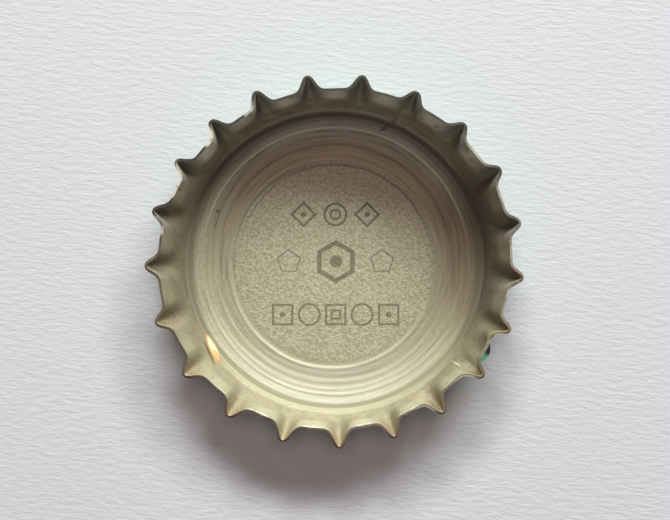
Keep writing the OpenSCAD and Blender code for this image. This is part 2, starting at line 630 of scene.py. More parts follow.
@dataclass(frozen=True)
class InsideLacquer(Finish):
    """Satin champagne lacquer on the inside of the shell, with grime, painted shade on the far side, at the
    sides and in the flutes, painted highlights on the lands, a nick and small stains.

    In the methods a height or a place is in millimetres, and the factor of a layer says how well it covers.
    """

    name: str = "inside_lacquer"
    spacing: Spacing = Spacing()
    nick: Nick = Nick()
    scratch: Dash = Dash(10.5, -8.85, -28.0, 0.36, 0.05)
    scratch_side: Dash = Dash(10.35, -9.02, -28.0, 0.36, 0.05)
    foot_stain: Dash = Dash(5.0, 12.1, 30.0, 0.45, 0.15)
    rim_stains: Tuple[Spot, ...] = (
        Spot(-13.05, 6.62, 0.16),
        Spot(-13.15, 6.1, 0.12),
        Spot(-13.22, 7.12, 0.2),
    )
    pale: Colour = (0.25, 0.197, 0.10)
    olive: Colour = (0.155, 0.132, 0.052)
    grime_and_shade: Colour = (0.11, 0.054, 0.024)
    grey: Colour = (0.44, 0.40, 0.32)
    maroon: Colour = (0.17, 0.10, 0.07)
    mossy_shade: Colour = (0.125, 0.11, 0.03)
    umber: Colour = (0.045, 0.022, 0.012)
    dark: Colour = (0.045, 0.044, 0.034)
    land_highlight: Colour = (0.85, 0.79, 0.66)
    amber: Colour = (0.22, 0.13, 0.045)
    cream: Colour = (0.56, 0.49, 0.34)
    lip: Colour = (0.74, 0.67, 0.52)
    fleck: Colour = (0.60, 0.57, 0.44)
    bare: Colour = (0.75, 0.70, 0.52)
    stain: Colour = (0.16, 0.07, 0.045)
    shade: Colour = (0.09, 0.05, 0.02)
    clouds: Noise = Noise(0.45, 3.0, 0.6)
    tints: Noise = Noise(1.3)
    patches: Noise = Noise(0.8)
    grains: Noise = Noise(7.0, 2.0, 0.6)
    drawing: Noise = Noise(1.0, 3.0, 0.55)
    metallic: float = 0.2
    roughness: float = 0.58
    relief: float = 0.014
    corner_z: Range = (2.0, 4.5)
    band_z: Range = (0.8, 4.0)
    under_z: Range = (2.0, 3.9)
    flute_z: Range = (3.4, 5.2)
    trough_z: Range = (3.6, 5.4)
    land_z: Range = (3.9, 5.0)
    lip_z: Range = (5.65, 5.85)

    def paint(self, nodes: Nodes, place: Place) -> Coat:
        """Lacquer with clouding, fine grain, drawing marks up the skirt, the gold nick and the stains.

        Args:
            nodes: the finish's nodes.
            place: where the surface is.

        Returns:
            The coat.
        """
        cloud = nodes.noise(place.point, self.clouds)
        tint = nodes.noise(place.point, self.tints)
        grain = nodes.noise(place.point, self.grains)
        drawn = nodes.noise(place.ringwise(along=26.0, across=0.15, up=0.5), self.drawing)
        side = abs(place.x).rise(9.5, 13.5) * place.y.within(-8.0, 8.0, 4.0)
        colour = Layers(nodes, place, nodes.blend(cloud.rise(0.38, 0.66), self.pale, self.olive))
        self.lay_clouds(colour, tint, side)
        self.lay_flutes(colour, drawn)
        self.lay_lands(colour, tint, side)
        self.lay_foot(colour, drawn)
        colour.lay((grain - 0.5) * 0.6 + 0.2, self.fleck)
        self.nick.lay_on(colour)
        scratch = self.scratch.mask(place)
        colour.lay(scratch * 0.6, self.bare)
        colour.lay(self.scratch_side.mask(place) * 0.4, self.shade)
        stains = largest(stain.mask(place) for stain in self.rim_stains)
        rust = (self.foot_stain.mask(place) * 0.7).at_least(stains) * 0.85
        colour.lay(rust, self.stain)
        nick = self.nick.whole.mask(place)
        roughness = self.roughness + (cloud - 0.5) * 0.12 + rust * 0.3 - nick * 0.1
        height = grain * 0.6 + drawn * 0.9 + tint * 1.2 + nick * 1.6 - scratch
        return Coat(colour.top, roughness, self.metallic - rust * 0.3, height, self.relief)

    def lay_clouds(self, colour: Layers, tint: Field, side: Field) -> None:
        """Lays the broad patches: grime and maroon at random, painted shade that makes the far side greyer
        and darker in patches, painted shade at the sides, olive in the near corners.

        Args:
            colour: the colours so far.
            tint: patches of grime, and of painted shade on the far side.
            side: 1 at the left and right of the cap.
        """
        place, far = colour.place, colour.place.far()
        patch = colour.nodes.noise(place.point, self.patches)
        colour.lay(tint.rise(0.45, 0.7) * 0.5, self.grime_and_shade)
        colour.lay(patch.rise(0.5, 0.7) * 0.4, self.maroon)
        # Painted shade: greyer on the far side, and darker at the left and right.
        colour.lay(far * 0.3, self.grey)
        colour.lay(side * 0.92, colour.nodes.blend(patch.rise(0.46, 0.6), self.grime_and_shade, self.mossy_shade))
        corner = abs(place.x).rise(6.0, 11.0) * (1 - far) * place.z.rise(*self.corner_z)
        colour.lay(corner * 0.3, self.olive)
        # Painted shade: darker patches on the far side.
        colour.lay(tint.rise(0.4, 0.62) * far * 0.45, self.grime_and_shade)

    def lay_flutes(self, colour: Layers, drawn: Field) -> None:
        """Paints shade in the flutes on the far side, and an amber tint with painted shade along the lit
        troughs on the near side.

        Args:
            colour: the colours so far.
            drawn: drawing marks up the skirt.
        """
        place, far = colour.place, colour.place.far()
        flute = self.spacing.flute(place, 1.6) * place.z.rise(*self.flute_z)
        # Painted shade in the flutes on the far side.
        colour.lay(flute * (drawn * 0.6 + 0.45) * far, self.dark)
        trough = self.spacing.flute(place, 5.0) * place.z.rise(*self.trough_z)
        # Amber tint that also paints shade over the lit troughs on the near side.
        colour.lay(trough * (drawn + 0.4) * (1 - far), self.amber)

    def lay_lands(self, colour: Layers, tint: Field, side: Field) -> None:
        """Paints highlights on the lands between the flutes, and on the lip of the sheet on the near side.

        Args:
            colour: the colours so far.
            tint: patches outside which the lands stay dull.
            side: 1 at the left and right of the cap.
        """
        place, far = colour.place, colour.place.far()
        land = self.spacing.land(place, 0.8) * place.z.rise(*self.land_z)
        land = land * tint.rise(0.2, 0.5) * (1 - side * 0.7)
        # Painted highlights on the lands, creamy on the near side and paler on the far side.
        land_highlight_colour = colour.nodes.blend(far * (1 - side), self.cream, self.land_highlight)
        colour.lay(land * (far * 0.5 + 0.4), land_highlight_colour)
        # Painted highlight on the lip of the sheet on the near side.
        catch = self.spacing.land(place, 1.0) * place.z.rise(*self.lip_z) * tint.rise(0.47, 0.6)
        colour.lay(catch * place.y.below(-11.0, 2.0) * 0.75, self.lip)

    def lay_foot(self, colour: Layers, drawn: Field) -> None:
        """Lays painted shade in a band at the right of the foot, painted light in the pale corner, and
        painted shade under the lands on the far side.

        Args:
            colour: the colours so far.
            drawn: drawing marks up the skirt.
        """
        place = colour.place
        # Painted shade in a band at the right of the foot.
        band = place.z.within(*self.band_z, 1.0) * place.x.rise(9.5, 12.0) * place.y.within(-4.5, 8.0, 3.0)
        colour.lay(band * (drawn * 0.6 + 0.45), self.umber)
        # Painted light in the corner at the foot, where shade falls.
        base = place.z.below(1.7, 0.8) * (1 - abs(place.x).rise(8.0, 12.0))
        colour.lay(base * 0.4, self.cream)
        # Painted shade under the lands on the far side.
        under = self.spacing.land(place, 0.8) * place.z.within(*self.under_z, 0.6) * place.far()
        colour.lay(under * 0.35, self.grime_and_shade)


@dataclass(frozen=True)
class OutsideEnamel(Finish):
    """Green enamel on the outside of the shell, scuffed near the rim."""

    name: str = "outside_enamel"
    # At the bent place: painted light on a bright green patch, and painted shade on a black spot without
    # clear coat.
    lit_spot: Spot = Spot(12.9, -8.7, 1.1, 0.7)
    bare: Spot = Spot(13.6, -7.0, 1.2, 0.4)
    green: Colour = (0.014, 0.21, 0.08)
    deep: Colour = (0.009, 0.10, 0.04)
    bright: Colour = (0.05, 0.62, 0.22)
    primer: Colour = (0.075, 0.012, 0.016)
    black: Colour = (0.008, 0.012, 0.01)
    clouds: Noise = Noise(0.3)
    peel: Noise = Noise(3.0)
    chips: Noise = Noise(1.7, 4.0, 0.65)
    rim_z: Range = (4.7, 5.9)
    roughness: float = 0.36
    coat: float = 0.25
    coat_roughness: float = 0.15
    relief: float = 0.012

    def paint(self, nodes: Nodes, place: Place) -> Coat:
        """Glossy enamel with slight orange peel, with painted light on a bright green patch and painted shade
        on a black spot at the bent place, rubs near the rim.

        Args:
            nodes: the finish's nodes.
            place: where the surface is.

        Returns:
            The coat.
        """
        cloud = nodes.noise(place.point, self.clouds)
        peel = nodes.noise(place.point, self.peel)
        chips = nodes.noise(place.point, self.chips)
        scuff = (chips + place.z.rise(*self.rim_z) * 0.16).rise(0.66, 0.72)
        bare = self.bare.mask(place)
        colour = Layers(nodes, place, nodes.blend(cloud.rise(0.35, 0.65), self.green, self.deep))
        # Painted light and painted shade at the bent place.
        colour.lay(self.lit_spot.mask(place), self.bright)
        colour.lay(bare, self.black)
        colour.lay(scuff, self.primer)
        roughness = self.roughness + scuff * 0.3 + bare * 0.4
        height = peel * 0.4 - scuff * 0.8
        fixed = {"Coat Weight": (1 - bare) * self.coat, "Coat Roughness": self.coat_roughness}
        return Coat(colour.top, roughness, 0.0, height, self.relief, fixed)


@dataclass(frozen=True)
class CutEdge(Finish):
    """Bare sheared edge of the sheet, tinned in places and rusted brown in others, with painted highlights
    where it faces the light and painted shade on the far side.
    """

    name: str = "cut_edge"
    spacing: Spacing = Spacing()
    # Painted highlights on the edge at the left.
    chips: Tuple[Dash, ...] = (
        Dash(-13.78, 5.73, 46.0, 0.75, 0.3, 0.5),
        Dash(-13.05, 7.8, -57.0, 0.7, 0.3, 0.5),
    )
    bright: Colour = (0.58, 0.50, 0.41)
    tin: Colour = (0.20, 0.16, 0.11)
    brown: Colour = (0.25, 0.14, 0.085)
    dull: Colour = (0.035, 0.03, 0.021)
    patches: Noise = Noise(0.5, 3.0, 0.6)
    grains: Noise = Noise(9.0, 2.0, 0.6)
    metallic: float = 0.3
    roughness: float = 0.6
    relief: float = 0.01

    def paint(self, nodes: Nodes, place: Place) -> Coat:
        """Sheared steel, tinned in places and brown in others, with painted highlights and painted shade.

        Args:
            nodes: the finish's nodes.
            place: where the surface is.

        Returns:
            The coat.
        """
        patch = nodes.noise(place.point, self.patches)
        grain = nodes.noise(place.point, self.grains)
        rust = (patch + abs(place.y).rise(2.0, 13.0) * 0.16).rise(0.34, 0.50)
        # Painted shade: the rusted edge darkens to dull on the far side.
        rust_and_shade = nodes.blend(place.y.rise(-4.0, 6.0), self.brown, self.dull)
        flank = self.spacing.flank(place)
        # Painted highlights on flanks and lands that face the light, and on the lower edge on the near side.
        right = place.x.rise(2.0, 8.0) * place.y.within(-14.0, 0.0, 2.0) * (-flank).rise(0.3, 0.8)
        right = right.at_least(self.spacing.land(place, 1.0) * place.x.rise(9.0, 12.0) * 0.5)
        left = (-place.x).rise(2.0, 8.0) * place.y.within(1.0, 13.0, 2.0) * flank.rise(0.3, 0.8)
        below = self.spacing.land(place, 1.2) * place.y.below(-9.0, 3.0) * grain.rise(0.45, 0.6)
        edge_highlight = largest((right, left, below)) * patch.rise(0.35, 0.5)
        edge_highlight = largest((edge_highlight, *(chip.mask(place) for chip in self.chips)))
        colour = nodes.blend(edge_highlight, nodes.blend(rust, self.tin, rust_and_shade), self.bright)
        return Coat(colour, self.roughness + rust * 0.3, self.metallic - rust * 0.2, grain, self.relief)


class Mark(Enum):
    """Plain marks that stand in the place of the print."""

    RING = "ring"
    SQUARE = "square"
    DIAMOND = "diamond"
    PENTAGON = "pentagon"
    HEXAGON = "hexagon"
    DISC = "disc"


@dataclass(frozen=True)
class PrintedMark:
    """One printed mark: its kind, centre, half size and stroke in millimetres."""

    kind: Mark
    x: float
    y: float
    size: float
    stroke: float = 0.2
    soft: float = 0.07

    def reach(self, place: Place) -> Field:
        """How far a place is from the mark's centre, in the measure of its outline.

        Args:
            place: where the surface is.

        Returns:
            The distance.
        """
        dx, dy = place.x - self.x, place.y - self.y
        if self.kind in (Mark.RING, Mark.DISC):
            return (dx * dx + dy * dy) ** 0.5
        if self.kind is Mark.SQUARE:
            return abs(dx).at_least(abs(dy))
        if self.kind is Mark.DIAMOND:
            return (abs(dx) + abs(dy)) * math.sqrt(0.5)
        sides = 5 if self.kind is Mark.PENTAGON else 6
        turns = (90 + 180 / sides + 360 / sides * side for side in range(sides))
        return largest(dx * cosd(turn) + dy * sind(turn) for turn in turns)

    def mask(self, place: Place) -> Field:
        """1 on the ink and 0 off it.

        Args:
            place: where the surface is.

        Returns:
            The mask.
        """
        if self.kind is Mark.DISC:
            return self.reach(place).below(self.size, self.soft)
        return abs(self.reach(place) - self.size).below(self.stroke / 2, self.soft)


def printed_marks() -> Sequence[PrintedMark]:
    """The plain marks on the liner: a row above, a figure between two pentagons, and a row below.

    Returns:
        The marks.
    """
    above, middle, below = 4.1, -0.05, -4.72
    marks = [PrintedMark(Mark.RING, 0.05, above, size) for size in (0.95, 0.42)]
    for x in (-2.75, 2.85):
        marks += [PrintedMark(Mark.DIAMOND, x, above, 0.72), PrintedMark(Mark.DISC, x, above, 0.24)]
    marks += [PrintedMark(Mark.PENTAGON, x, middle, 0.85, 0.11) for x in (-4.05, 4.17)]
    marks += [PrintedMark(Mark.HEXAGON, 0.1, middle, 1.45, 0.4), PrintedMark(Mark.DISC, 0.1, middle, 0.55)]
    marks += [PrintedMark(Mark.SQUARE, x, below, 0.85) for x in (-4.6, 0.08, 4.75)]
    marks += [PrintedMark(Mark.DISC, x, below, 0.26) for x in (-4.6, 4.75)]
    marks += [PrintedMark(Mark.RING, x, below, 0.92) for x in (-2.25, 2.4)]
    return [*marks, PrintedMark(Mark.SQUARE, 0.08, below, 0.36)]


@dataclass(frozen=True)
class LinerCompound(Finish):
    """Clear satin compound over the lacquered panel, with moulding rings, grain, the printed marks, and
    painted light and shade on its rings.

    In the methods a radius or a place is in millimetres, and the factor of a layer says how well it covers.
    """

    name: str = "liner_compound"
    nick: Nick = Nick()
    stains: Tuple[Union[Spot, Dash], ...] = (Spot(-10.27, 4.38, 0.17), Dash(4.35, 11.68, 30.0, 0.42, 0.16))
    dark_arcs: Tuple[Range, ...] = ((8.42, 8.52), (8.84, 8.92), (10.2, 10.28))
    pale: Colour = (0.635, 0.59, 0.415)
    warm: Colour = (0.475, 0.423, 0.26)
    edge: Colour = (0.43, 0.36, 0.225)
    bright: Colour = (0.72, 0.70, 0.58)
    glare: Colour = (0.62, 0.64, 0.60)
    glint: Colour = (0.88, 0.87, 0.66)
    film: Colour = (0.34, 0.30, 0.18)
    groove_shade: Colour = (0.17, 0.14, 0.092)
    brown: Colour = (0.24, 0.17, 0.085)
    ink: Colour = (0.115, 0.10, 0.055)
    stain: Colour = (0.16, 0.075, 0.04)
    mottling: Noise = Noise(4.2, 2.0, 0.6)
    grains: Noise = Noise(11.0, 1.0)
    moulding: Noise = Noise(1.0, 3.0, 0.6)
    metallic: float = 0.45
    roughness: float = 0.48
    coat: float = 0.15
    coat_roughness: float = 0.4
    relief: float = 0.02
    panel_r: float = 8.9
    beads_r: Range = (8.9, 11.2)
    thick_bead_r: Range = (9.5, 10.5)
    seal_r: Range = (10.3, 11.2)
    crest_r: Range = (11.64, 11.8)
    brim_r: Range = (12.1, 12.55)
    film_r: Range = (12.52, 12.84)

    def paint(self, nodes: Nodes, place: Place) -> Coat:
        """Grain over the panel, rings towards the edge, ink and two stains.

        Args:
            nodes: the finish's nodes.
            place: where the surface is.

        Returns:
            The coat.
        """
        mottle = nodes.noise(place.point, self.mottling)
        fine = nodes.noise(place.point, self.grains)
        rings = nodes.noise(place.ringwise(along=2.6, across=5.5), self.moulding)
        panel = place.radius.below(self.panel_r, 0.5)
        outside = 1 - panel
        blur = outside * (place.y.below(-7.0, 3.0) * 0.35 + 0.4)
        ground = mottle.rise(0.35, 0.65) * (1 - blur) + blur * 0.55
        colour = Layers(nodes, place, nodes.blend(ground, self.warm, self.pale))
        self.lay_beads(colour, outside)
        self.lay_seal(colour)
        self.lay_rings(colour, outside * (rings - 0.5))
        film = place.radius.rise(*self.film_r)
        shaded = place.y.rise(-4.0, 7.0).at_least(abs(place.x).rise(9.0, 12.0) * 0.55)
        colour.lay(film, nodes.blend(shaded, self.film, self.groove_shade))
        self.nick.lay_on(colour)
        ink = largest(mark.mask(place) for mark in printed_marks())
        colour.lay(ink * (0.78 + (fine - 0.5) * 0.5), self.ink)
        colour.lay(largest(stain.mask(place) for stain in self.stains) * 0.7, self.stain)
        roughness = self.roughness + (mottle - 0.5) * 0.2 * panel + ink * 0.15 + film * 0.1
        height = mottle * (panel * 1.8 + 0.2) + fine * (panel * 0.6 + 0.3) + rings * outside * 0.9
        metallic = self.metallic * (1 - ink * 0.6) * (1 - film * 0.6)
        fixed = {"Coat Weight": self.coat, "Coat Roughness": self.coat_roughness}
        return Coat(colour.top, roughness, metallic, height, self.relief, fixed)

    def lay_beads(self, colour: Layers, outside: Field) -> None:
        """Paints shade on the beads on the far side and at the right, and a highlight on them at the near
        end.

        Args:
            colour: the colours so far.
            outside: 1 outside the grained panel.
        """
        place = colour.place
        left = (-place.x).rise(5.0, 10.0)
        right = place.x.rise(7.0, 12.5) * place.y.within(-6.0, 9.0, 5.0)
        band = place.radius.within(*self.beads_r, 0.8) * (place.far() * 0.65) * (1 - left * 0.4)
        # Painted shade on the beads on the far side.
        colour.lay(band, self.edge)
        colour.lay(left * place.y.rise(2.0, 6.0) * outside * 0.3, self.film)
        # Painted highlight on the thick bead at the near end.
        colour.lay(place.radius.within(*self.thick_bead_r, 0.5) * place.near_end() * 0.5, self.bright)
        # Painted shade at the right.
        colour.lay(right * 0.6, self.brown)

    def lay_seal(self, colour: Layers) -> None:
        """Darkens the outer seal a little, and paints highlights on it at its near and far ends.

        Args:
            colour: the colours so far.
        """
        place = colour.place
        seal = place.radius.rise(*self.seal_r)
        colour.lay(seal * 0.15, self.edge)
        # Painted highlights on the seal at its near and far ends.
        colour.lay(seal * place.near_end() * 0.3, self.glare)
        colour.lay(seal * place.y.rise(3.0, 9.0) * 0.28, self.bright)

    def lay_rings(self, colour: Layers, streak: Field) -> None:
        """Lays the fine moulding rings with painted light and shade, painted shade on thin arcs and a painted
        highlight on the crest on the far side, and painted shade at the brim.

        Args:
            colour: the colours so far.
            streak: above 0 on a pale ring and below 0 on a dark one.
        """
        place, far = colour.place, colour.place.far()
        # Moulding rings, their pale side painted brighter on the near side and their dark side painted darker
        # on the far side, as light and shade.
        colour.lay(streak.at_least(0) * (1.6 - far), self.bright)
        colour.lay((-streak).at_least(0) * (1.2 + far * 1.2), self.groove_shade)
        # Painted shade on thin arcs on the far side.
        for arc_r in self.dark_arcs:
            colour.lay(place.radius.within(*arc_r, 0.07) * place.y.rise(-1.0, 5.0) * 0.55, self.groove_shade)
        # Painted highlight on the crest on the far side.
        crest = place.radius.within(*self.crest_r, 0.08) * place.y.rise(1.0, 7.0)
        colour.lay(crest * 0.9, self.glint)
        # Painted shade at the brim on the far side.
        brim = place.radius.rise(*self.brim_r) * place.y.rise(-7.0, 1.0)
        colour.lay(brim * 0.62, self.groove_shade)


@dataclass(frozen=True)
class PaperSurface(Finish):
    """Plain pale paper with a faint tooth that runs across it, and a painted pool of light on the far side.
    """

    name: str = "paper"
    pale: Colour = (0.745, 0.745, 0.75)
    dim: Colour = (0.70, 0.70, 0.715)
    tooth: Noise = Noise(1.3, 3.0, 0.6)
    clouds: Noise = Noise(0.06)
    pale_y: float = 18.0
    dim_reach: float = 55.0
    roughness: float = 0.9
    relief: float = 0.08

    def paint(self, nodes: Nodes, place: Place) -> Coat:
        """Paper with faint clouding and tooth, painted paler round a point on the far side as a pool of
        light.

        Args:
            nodes: the finish's nodes.
            place: where the surface is.

        Returns:
            The coat.
        """
        across = nodes.point(place.x * 0.7, place.y * 2.1 + place.x * 0.15, place.z)
        tooth = nodes.noise(across, self.tooth)
        cloud = nodes.noise(place.point, self.clouds)
        # Painted pool of light, dimmer away from a point on the far side.
        away = nodes.point(place.x, place.y - self.pale_y, 0.0)
        reach = nodes.add("VectorMath", {"operation": "LENGTH"}, {0: away}, "Value")
        dim = (reach / self.dim_reach).at_most(1) * 0.9 + (cloud - 0.5) * 0.3
        colour = nodes.blend(dim, self.pale, self.dim)
        return Coat(colour, self.roughness, 0.0, tooth, self.relief)


# --------------------------------------------------------------------------------------------------
# Pieces
# --------------------------------------------------------------------------------------------------


class Surface(IntEnum):
    """Surfaces of the sheet, by the material slot that each takes its finish from."""

    OUTSIDE = 0
    INSIDE = 1
    CUT_EDGE = 2


@dataclass
class CrownShell:
    """Pressed tinplate shell: flat panel, rolled corner and fluted skirt, as one sheet of even thickness.

    Lengths are in millimetres and directions in degrees. A growth or a fade is the power with which something
    grows from the foot of the skirt to its rim, and a place or a start is a share of that climb.
    """

    crown_d: float = 32.1
    crown_h: float = 6.0
    sheet_t: float = 0.24
    corner_r: float = 1.7
    flat_d: float = 23.7
    valley_d: float = 29.58
    spacing: Spacing = Spacing()
    tip_drop: float = 0.45
    tip_bluntness: float = 1.3
    flute_growth: float = 1.5
    foot_sharpness: float = 1.2
    rim_sharpness: float = 5.6
    rim_oval: float = 0.32
    tip_oval: float = 0.13
    oval_dir: float = 18.5
    rim_shift: float = 0.15
    rim_shift_dir: float = 82.0
    bend_dir: float = 328.5
    bend_half_angle: float = 5.0
    bend_out: float = 0.15
    bend_bulge: float = 1.4
    bend_fade: float = 5.0
    bulge_place: float = 0.66
    bulge_height: float = 0.2
    wear_fade: float = 1.5
    flare: float = 0.3
    flare_growth: float = 4.0
    tip_crowding: float = 0.55
    tooth_steps: int = 16
    corner_steps: int = 5
    skirt_steps: int = 12
    panel_rings: Tuple[float, ...] = (11.4, 9.6, 6.5, 3.2)
    unevenness: float = 0.05
    wave_size: float = 2.2
    wave_start: float = 0.4
    edge_crease: float = 0.8
    smooth_angle: float = 50.0
    border: float = 0.1
    lacquered_below_y: float = -2.0
    name: str = "crown_sheet"

    def __post_init__(self) -> None:
        """Works out the middle of the sheet at the foot and the rim of the skirt."""
        self.flat_r, self.half_t = self.flat_d / 2, self.sheet_t / 2
        reach, rise = self.valley_d / 2 - self.flat_r, self.crown_h - self.corner_r
        lean = math.atan2(reach, rise) - math.asin(self.corner_r / math.hypot(reach, rise))
        bend_r = self.corner_r - self.half_t
        self.skirt_lean = math.degrees(lean)
        self.foot_r = self.flat_r + bend_r * math.cos(lean)
        self.foot_z = self.corner_r - bend_r * math.sin(lean)
        self.rim_z = self.crown_h - self.half_t * math.sin(lean)
        self.rim_r = self.foot_r + (self.rim_z - self.foot_z) * math.tan(lean)
        climb = self.rim_z - self.tip_drop - self.foot_z
        run = self.rim_r - self.foot_r + self.flare * (self.flare_growth - 1)
        run += self.flute_growth * (self.crown_d / 2 - self.rim_r)
        self.tooth_h = self.crown_d / 2 - self.half_t * math.cos(math.atan2(run, climb)) - self.rim_r

    @property
    def columns(self) -> int:
        """Number of columns of points round the skirt."""
        return self.spacing.teeth * self.tooth_steps

    def turn_of(self, column: int) -> float:
        """Turn of a column, 360 degrees a tooth, with the columns crowded at the tips."""
        turn = 360 * column / self.tooth_steps
        return turn - math.degrees(self.tip_crowding * sind(turn))

    def column_directions(self) -> Sequence[float]:
        """Directions of the columns, from -180 to 180 degrees."""
        directions = (self.spacing.direction(self.turn_of(column)) for column in range(self.columns))
        return [(direction + 180) % 360 - 180 for direction in directions]

    def ridge(self, turn: float, sharpness: float) -> float:
        """Height of a blunt ridge of height 1 at a turn."""
        return 1 - (1 - ((1 + cosd(turn)) / 2) ** sharpness) ** self.tip_bluntness

    def bend(self, angle: float, climb: float) -> float:
        """How far the bent place stands out.

        Args:
            angle: direction in degrees.
            climb: 0 at the foot of the skirt and 1 at the rim.

        Returns:
            The distance.
        """
        off = (angle - self.bend_dir + 180) % 360 - 180
        bulge = self.bend_bulge * hump((climb - self.bulge_place) / self.bulge_height)
        return hump(off / self.bend_half_angle) * (bulge + self.bend_out * climb**self.bend_fade)

    def skirt_place(self, turn: float, climb: float) -> Tuple[float, float]:
        """Radius and height of the middle of the sheet on the skirt.

        Args:
            turn: turn round the teeth, 360 degrees a tooth.
            climb: 0 at the foot of the skirt and 1 at the rim.

        Returns:
            The radius and the height.
        """
        angle = self.spacing.direction(turn)
        oval = cosd(2 * (angle - self.oval_dir))
        at_rim = self.ridge(turn, self.rim_sharpness)
        sharpness = mix(self.foot_sharpness, self.rim_sharpness, climb)
        flute = climb**self.flute_growth * self.ridge(turn, sharpness)
        wear = self.rim_oval * oval + self.rim_shift * cosd(angle - self.rim_shift_dir)
        radius = mix(self.foot_r, self.rim_r, climb) + self.flare * (climb**self.flare_growth - climb)
        radius += climb**self.wear_fade * wear * (1 - at_rim)
        radius += flute * (self.tooth_h + self.tip_oval * oval) + self.bend(angle, climb)
        return radius, mix(self.foot_z, self.rim_z - self.tip_drop * at_rim, climb)

    def model(self) -> bpy.types.Object:
        """Models the shell from a ring at the edge of the panel.

        Returns:
            The finished piece.
        """
        bench = Bench.ring(self.name, self.flat_r, self.half_t, self.columns)
        self.spread_columns(bench)
        panel_edge = bench.selected()
        self.roll_corner(bench)
        self.raise_skirt(bench)
        self.fill_panel(bench, panel_edge)
        piece = bench.done()
        self.dress(piece)
        self.give_thickness(piece)
        return piece

    def spread_columns(self, bench: Bench) -> None:
        """Turns each point of the first ring to the direction of its column.

        Args:
            bench: the bench with the ring on it.
        """
        ring = bench.selected()
        even = [bench.place(index) for index in ring]
        for index, place, angle in zip(ring, even, sorted(self.column_directions())):
            bench.pick([index])
            bench.turn(angle - math.degrees(math.atan2(place.y, place.x)))
        bench.pick(ring)

    def roll_corner(self, bench: Bench) -> None:
        """Extrudes the corner, a quarter roll less the lean of the skirt.

        Args:
            bench: the bench with the edge of the panel selected.
        """
        bend_r = self.corner_r - self.half_t
        radius, height = self.flat_r, self.half_t
        for step in range(1, self.corner_steps + 1):
            angle = step / self.corner_steps * (90 - self.skirt_lean)
            new_radius = self.flat_r + bend_r * sind(angle)
            new_height = self.corner_r - bend_r * cosd(angle)
            bench.extrude()
            bench.spread(new_radius / radius)
            bench.move(Vector((0, 0, new_height - height)))
            radius, height = new_radius, new_height

    def raise_skirt(self, bench: Bench) -> None:
        """Extrudes the skirt ring by ring, and moves each point out into its flute.

        Args:
            bench: the bench with the foot of the skirt selected.
        """
        directions = self.column_directions()
        first = directions.index(min(directions))
        for step in range(1, self.skirt_steps + 1):
            climb = step / self.skirt_steps
            bench.extrude()
            ring = bench.selected()
            for order, index in enumerate(ring):
                turn = self.turn_of((order + first) % self.columns)
                radius, height = self.skirt_place(turn, climb)
                here = bench.place(index)
                plan = math.hypot(here.x, here.y)
                step_out = (radius - plan) / plan
                bench.pick([index])
                bench.move(Vector((here.x * step_out, here.y * step_out, height - here.z)))
            bench.pick(ring)

    def fill_panel(self, bench: Bench, panel_edge: Sequence[int]) -> None:
        """Closes the panel with rings of faces and a middle face.

        Args:
            bench: the bench with the shell on it.
            panel_edge: indices of the points at the edge of the panel.
        """
        bench.pick(panel_edge)
        radius = self.flat_r
        for ring in self.panel_rings:
            bench.extrude()
            bench.spread(ring / radius)
            radius = ring
        bpy.ops.mesh.edge_face_add()

    def give_thickness(self, piece: bpy.types.Object) -> None:
        """Makes the sheet slightly uneven, gives it its thickness and rounds it.

        Args:
            piece: the sheet as a surface without thickness.
        """
        skirt = piece.vertex_groups.new(name="skirt")
        for vert in piece.data.vertices:
            climb = (vert.co.z / MM - self.foot_z) / (self.rim_z - self.foot_z)
            skirt.add([vert.index], max(0.0, min(1.0, climb / self.wave_start)), "REPLACE")
        waves = bpy.data.textures.new("sheet_waves", "CLOUDS")
        waves.noise_scale, waves.noise_depth = self.wave_size * MM, 1
        work = Modifiers(piece)
        work.apply(
            "DISPLACE", texture=waves, texture_coords="LOCAL", direction="NORMAL", vertex_group="skirt",
            mid_level=0.5, strength=2 * self.unevenness * MM,
        )
        work.apply(
            "SOLIDIFY", thickness=self.sheet_t * MM, offset=0, use_even_offset=True, use_quality_normals=True,
            material_offset=Surface.INSIDE, material_offset_rim=Surface.CUT_EDGE,
            edge_crease_inner=self.edge_crease, edge_crease_outer=self.edge_crease,
        )
        self.bare_the_edge(piece)
        work.subdivide(1)
        work.smooth(self.smooth_angle)

    def bare_the_edge(self, piece: bpy.types.Object) -> None:
        """Insets the cut edge, and leaves its inner border to the lacquer on the near side.

        Args:
            piece: the sheet with its thickness.
        """
        bpy.ops.object.mode_set(mode="EDIT")
        bpy.ops.mesh.select_mode(type="FACE")
        bpy.ops.mesh.select_all(action="DESELECT")
        bpy.ops.object.mode_set(mode="OBJECT")
        for face in piece.data.polygons:
            face.select = face.material_index == Surface.CUT_EDGE
        bpy.ops.object.mode_set(mode="EDIT")
        bpy.ops.mesh.inset(thickness=self.border * MM, use_even_offset=True)
        bpy.ops.object.mode_set(mode="OBJECT")
        faces = piece.data.polygons
        inside = [face for face in faces if face.material_index == Surface.INSIDE]
        inside_edges = {edge for face in inside for edge in face.edge_keys}
        for face in faces:
            bare = face.material_index == Surface.CUT_EDGE and face.center.y < self.lacquered_below_y * MM
            if bare and not inside_edges.isdisjoint(face.edge_keys):
                face.material_index = Surface.INSIDE

    def dress(self, piece: bpy.types.Object) -> None:
        """Gives the sheet its enamel outside, its lacquer inside and its bare cut edge, in that order."""
        for finish in (OutsideEnamel(), InsideLacquer(), CutEdge()):
            piece.data.materials.append(finish.material())

    def make(self) -> bpy.types.Object:
        """Returns:
            The piece.
        """
        piece = self.model()
        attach(piece, "root")
        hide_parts("crown_shell")
        return piece


@dataclass(frozen=True)
class LinerRing:
    """One ring of the liner's surface: radius, height and how far off centre it was moulded."""

    radius: float
    height: float
    shift: float = 0.0


def liner_rings(*rows: Sequence[float]) -> Tuple[LinerRing, ...]:
    """Rings of the liner from rows of radius, height and shift."""
    return tuple(LinerRing(*row) for row in rows)


